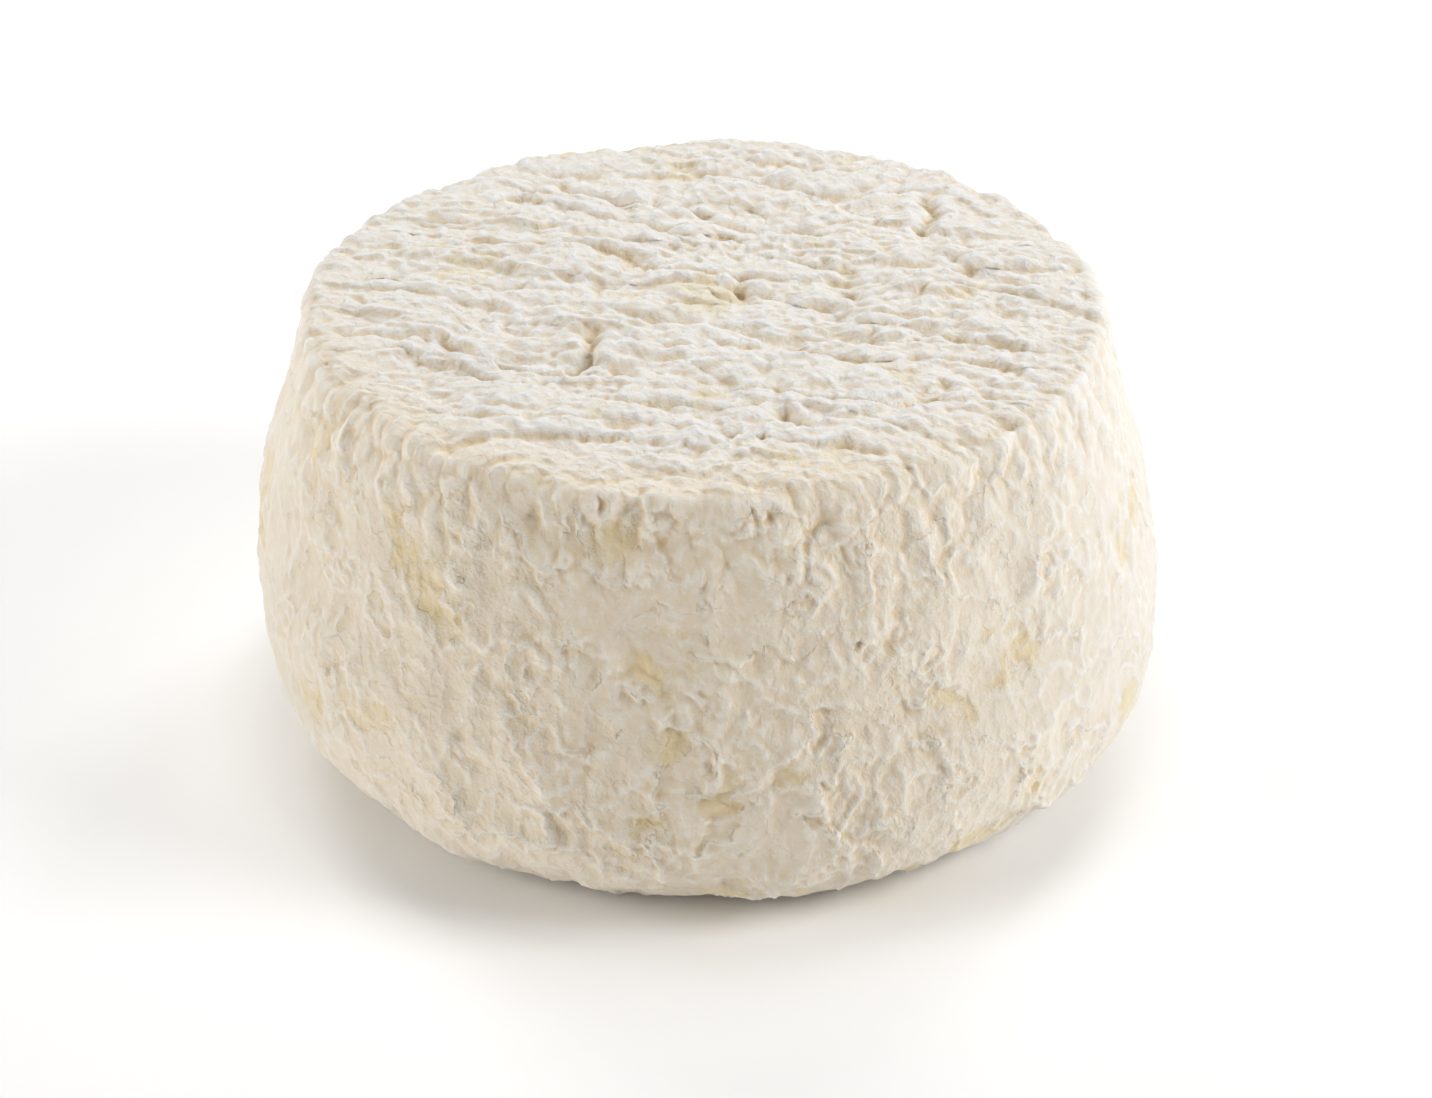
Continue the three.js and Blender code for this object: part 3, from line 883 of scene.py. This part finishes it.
def rind_material(finish):
    """White mould coat over a yellow rind with a fibrous nap, with painted warm shade in the hollows,
    crevices and cracks and on the wheel's front, and painted light on level faces and crests.
    """
    shader = Shader("bloomy_rind")
    coat = shader.measure("coat")
    crest = shader.measure("crest")
    hollow = shader.measure("hollow")
    basin = shader.measure("basin")
    on_top = shader.measure("on_top")
    # How far the surface faces up; below, it paints level faces whiter and steep faces creamier, as light and
    # shade.
    level = shader.measure("level")
    hung = shader.place("hung")
    on_wall = 1 - on_top

    # Noise on the rind's own place has so many cells to a metre, and noise on the hung skin so many to a mm.
    mottle = shader.noise(shader.stretched(shader.own_place(), (160, 160, 200)), 5, 0.6, 0.8)
    grain = shader.noise(shader.stretched(shader.own_place(), (2400, 2400, 2400)), 3, 0.6)
    pocks = shader.noise(shader.stretched(shader.own_place(), (900, 1100, 1100)), 3, 0.6, 0.5)
    crumple = shader.noise(shader.stretched(hung, (0.8, 0.8, 0.7)), 4, 0.65, 1.0)
    # Painted shade on the wheel's front, partly a creamier coat: it covers the wall there and the top within
    # 9 mm of the rim, where the colour is multiplied by the warm tint.
    front = (shader.along(hung, FRONT_SHADE_SIDE) / RIM_REACH).step(-0.2, 1.0)
    front_shade = front * (1 - on_top * shader.along(hung, (0, 0, 1)).step(0.0, 9.0))
    beads = shader.cells(shader.stretched(shader.own_place(), (1500, 1500, 1300)))
    pits = shader.cells(shader.stretched(shader.pushed(shader.own_place(), 1400, 0.0009), (620, 620, 420)))
    speckle = shader.noise(shader.stretched(hung, (4.0, 4.0, 4.0)), 2, 0.6)
    rag = (shader.noise(shader.stretched(hung, (1.6, 1.6, 1.6)), 2, 0.6) - 0.5) * 0.3
    _, to_fold, past_fold = shader.edges("fold", 0.0)
    plate_share, to_plate, past_plate = shader.edges("plate", rag)
    fold_edge = 1 - to_fold.step(0.0, 0.45)
    # The foot just past a fold's edge, where the colour below is painted creamier as shade.
    fold_foot_shade = (1 - past_fold.step(0.1, 0.5)) * past_fold.step(0.0, 0.1)
    plate_edge = 1 - to_plate.step(0.0, 0.4)
    # Short cracks at the plates' feet: a dent in the bump, and a colour that is partly yellow rind and partly
    # painted shade under the plate's edge.
    gap_here = shader.noise(shader.stretched(hung, (0.4, 0.4, 0.4)), 2, 0.5).step(0.52, 0.6)
    crack_and_shade = (1 - past_plate.step(0.05, 0.35)) * gap_here * on_wall

    # Heights in mm, fainter on the wall's two sides than at its front and back.
    thickness = coat + (mottle - 0.5) * 0.7 + (crumple - 0.5) * 0.6 * on_wall
    nap = grain * 0.02 + thickness.step(0.25, 0.45) * 0.1
    wall_nap = crumple * 0.3 + plate_edge * 0.08 + plate_share * 0.2 - crack_and_shade * 0.2
    height = (pocks * 0.25 + fold_edge * 0.08) * on_top + wall_nap * on_wall + nap
    height = height + pits * pits * (on_top * 0.15 + 0.3) - beads * beads * (on_top * 0.05 + 0.05)
    side = (shader.along(hung, (1, 0, 0)) / RIM_REACH) ** 2
    height = height * (1 - side * on_wall * 0.5)
    bump = shader.node("ShaderNodeBump", None, {"Strength": 1.0, "Distance": MM, "Height": height})

    bareness = (1 - thickness.step(0.25, 0.5)) * (1 - past_plate.step(1.0, 5.0) * 0.6 - on_top * 0.4)
    # Painted shade, deep in hollows and broad basins and in sharp crevices, which the colour below takes
    # towards the warm crease tint.
    depth = (hollow * -1.0 + basin * -0.2).step(0.15, 0.9)
    crevice_shade = (crest * -5.0 + hollow * -1.2 + 0.1).clamped() * 0.25

    # Whiteness mixes the coat's own thickness with painted light and shade. Level faces and sharp crests are
    # painted whiter, as if lit from above, while steep faces, hollows, pit centres and the feet of the top's
    # folds are painted creamier, as if in shade.
    whiteness_and_painted_light = hollow.step(-0.3, 0.3) * 0.35 + crest.step(0.0, 0.06) * 0.3 + level.step(0.6, 0.97) * 0.5
    whiteness_and_painted_light = whiteness_and_painted_light + (speckle - 0.5) * 0.5 + pits * 0.4 - 0.4
    whiteness_and_painted_light = whiteness_and_painted_light + on_wall * (plate_share * 0.1 + 0.25) + on_top * (fold_edge - fold_foot_shade) * 0.2
    colour = shader.mix(whiteness_and_painted_light.clamped(), finish.cream, finish.bloom)
    colour = shader.mix(bareness * 0.7, colour, finish.bare)
    colour = shader.mix(mottle.step(0.5, 0.75) * on_top * 0.2, colour, finish.tan)
    # Painted shade: the warm crease tint in hollows, basins, crevices and cracks.
    colour = shader.mix((depth * 0.7 + crack_and_shade * 0.6 + crevice_shade).clamped(), colour, finish.crease_shade)
    colour = shader.mix(front_shade, colour, finish.warm, "MULTIPLY")

    surface_inputs = {
        "Base Color": colour,
        "Roughness": bareness * -0.18 + finish.roughness,
        "Normal": bump,
        "IOR": 1.4,
        "Subsurface Weight": 0.45,
        "Subsurface Radius": (1.0, 0.92, 0.85),
        "Subsurface Scale": finish.scatter,
        "Sheen Weight": 0.2,
        "Sheen Roughness": 0.6,
    }
    surface = shader.node("ShaderNodeBsdfPrincipled", None, surface_inputs)
    shader.node("ShaderNodeOutputMaterial", None, {"Surface": surface})
    return shader.material


def floor_material(studio):
    """A matt white floor that glows more the farther it lies from the wheel: painted light, which leaves a
    painted shadow round the wheel's foot.
    """
    shader = Shader("studio_floor")
    tooth = shader.noise(shader.stretched(shader.own_place(), (40, 40, 40)), 3)
    colour = shader.mix(tooth, (0.92, 0.92, 0.92), (0.95, 0.95, 0.95))
    away = shader.node("ShaderNodeVectorMath", {"operation": "LENGTH"}, {0: shader.own_place()}, "Value")
    # Painted light and shadow: the floor glows not at all within 44 mm of the wheel's middle, a fifth as much
    # from 72 mm, and fully beyond 0.8 m.
    lit = away.step(0.044, 0.072) * 0.2 + away.step(0.25, 0.8) * 0.8
    glow = shader.mix(lit, (0.0, 0.0, 0.0), (1.0, 1.0, 1.0))
    surface_inputs = {
        "Base Color": colour,
        "Roughness": 0.8,
        "Emission Color": glow,
        "Emission Strength": studio.painted_floor_glow,
    }
    surface = shader.node("ShaderNodeBsdfPrincipled", None, surface_inputs)
    shader.node("ShaderNodeOutputMaterial", None, {"Surface": surface})
    return shader.material


# ---------------------------------------------------------------- pieces


def link(name, data):
    """A new object in the scene."""
    made = bpy.data.objects.new(name, data)
    bpy.context.scene.collection.objects.link(made)
    return made


class CHEESE_OT_rind(bpy.types.Operator):
    """Builds the wheel's wrinkled rind in the place of its solid"""

    bl_idname = "cheese.rind"
    bl_label = "Cheese rind"

    def execute(self, context):
        scene = context.scene
        points, faces, hub, measures = wrinkled_rind(scene.wheel_form, scene.rind_relief)
        mesh = bpy.data.meshes.new("rind")
        mesh.from_pydata(fitted_to_frame(points).tolist(), [], faces.tolist() + hub)
        for name, values in measures.items():
            kind, field = ("FLOAT", "value") if values.ndim == 1 else ("FLOAT_VECTOR", "vector")
            layer = mesh.attributes.new(name, kind, "POINT")
            layer.data.foreach_set(field, values.astype(np.float32).ravel())
        mesh.polygons.foreach_set("use_smooth", [True] * len(mesh.polygons))
        mesh.materials.append(rind_material(scene.rind_finish))
        if mesh.validate():
            raise RuntimeError("the rind's mesh had faulty faces")
        piece = link("rind", mesh)
        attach(piece, BODY)
        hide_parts(WHEEL_NODE)
        return {"FINISHED"}


class CHEESE_OT_stage(bpy.types.Operator):
    """Makes the floor, the lights, the surroundings and the camera"""

    bl_idname = "cheese.stage"
    bl_label = "Studio"

    def execute(self, context):
        scene = context.scene
        studio = scene.cheese_studio
        self.add_floor(studio)
        self.add_surroundings(scene, studio)
        for name, colour, place, width in LAMPS:
            self.add_lamp(name, getattr(studio, f"{name}_power"), getattr(studio, colour), place, width)
        self.add_camera(scene, studio)
        scene.view_settings.view_transform = "Standard"
        return {"FINISHED"}

    def add_floor(self, studio):
        half = studio.floor_reach
        corners = [(-half, -half, 0), (half, -half, 0), (half, half, 0), (-half, half, 0)]
        mesh = bpy.data.meshes.new("floor")
        mesh.from_pydata(corners, [], [(0, 1, 2, 3)])
        mesh.materials.append(floor_material(studio))
        link("floor", mesh)

    def add_surroundings(self, scene, studio):
        world = bpy.data.worlds.new("studio")
        world.use_nodes = True
        background = world.node_tree.nodes["Background"]
        background.inputs["Color"].default_value = (1, 1, 1, 1)
        background.inputs["Strength"].default_value = studio.fill
        scene.world = world

    def add_lamp(self, name, power, colour, place, width):
        """A square soft light that faces the middle of the wheel."""
        lamp = bpy.data.lights.new(name, "AREA")
        lamp.energy = power
        lamp.color = colour
        lamp.size = width
        stand = link(name, lamp)
        stand.location = place
        away = stand.location - Vector(WHEEL_MIDDLE)
        stand.rotation_euler = away.to_track_quat("Z", "Y").to_euler()

    def add_camera(self, scene, studio):
        camera = bpy.data.cameras.new("camera")
        camera.lens = studio.lens
        camera.clip_start = 0.01
        stand = link("camera", camera)
        aim = Vector(studio.aim)
        back = Vector((0, -math.cos(studio.elevation), math.sin(studio.elevation)))
        stand.location = aim + back * studio.distance
        stand.rotation_euler = back.to_track_quat("Z", "Y").to_euler()
        scene.camera = stand


class CHEESE_PT_wheel(bpy.types.Panel):
    """Lists the steps that build the wheel"""

    bl_label = "Cheese Wheel"
    bl_idname = "CHEESE_PT_wheel"
    bl_space_type = "VIEW_3D"
    bl_region_type = "UI"
    bl_category = "Cheese"

    def draw(self, context):
        for step in STEPS:
            self.layout.operator(step.bl_idname)


STEPS = (CHEESE_OT_stage, CHEESE_OT_rind)
SETTINGS = {
    "wheel_form": WheelForm,
    "rind_relief": RindRelief,
    "rind_finish": RindFinish,
    "cheese_studio": Studio,
}


def register():
    for made in (*SETTINGS.values(), *STEPS, CHEESE_PT_wheel):
        bpy.utils.register_class(made)
    for name, group in SETTINGS.items():
        setattr(bpy.types.Scene, name, PointerProperty(type=group))


def unregister():
    for name in SETTINGS:
        delattr(bpy.types.Scene, name)
    for made in (CHEESE_PT_wheel, *STEPS, *SETTINGS.values()):
        bpy.utils.unregister_class(made)


def main():
    """Builds everything in order."""
    register()
    bpy.ops.cheese.stage()
    bpy.ops.cheese.rind()


if __name__ == "__main__":
    main()
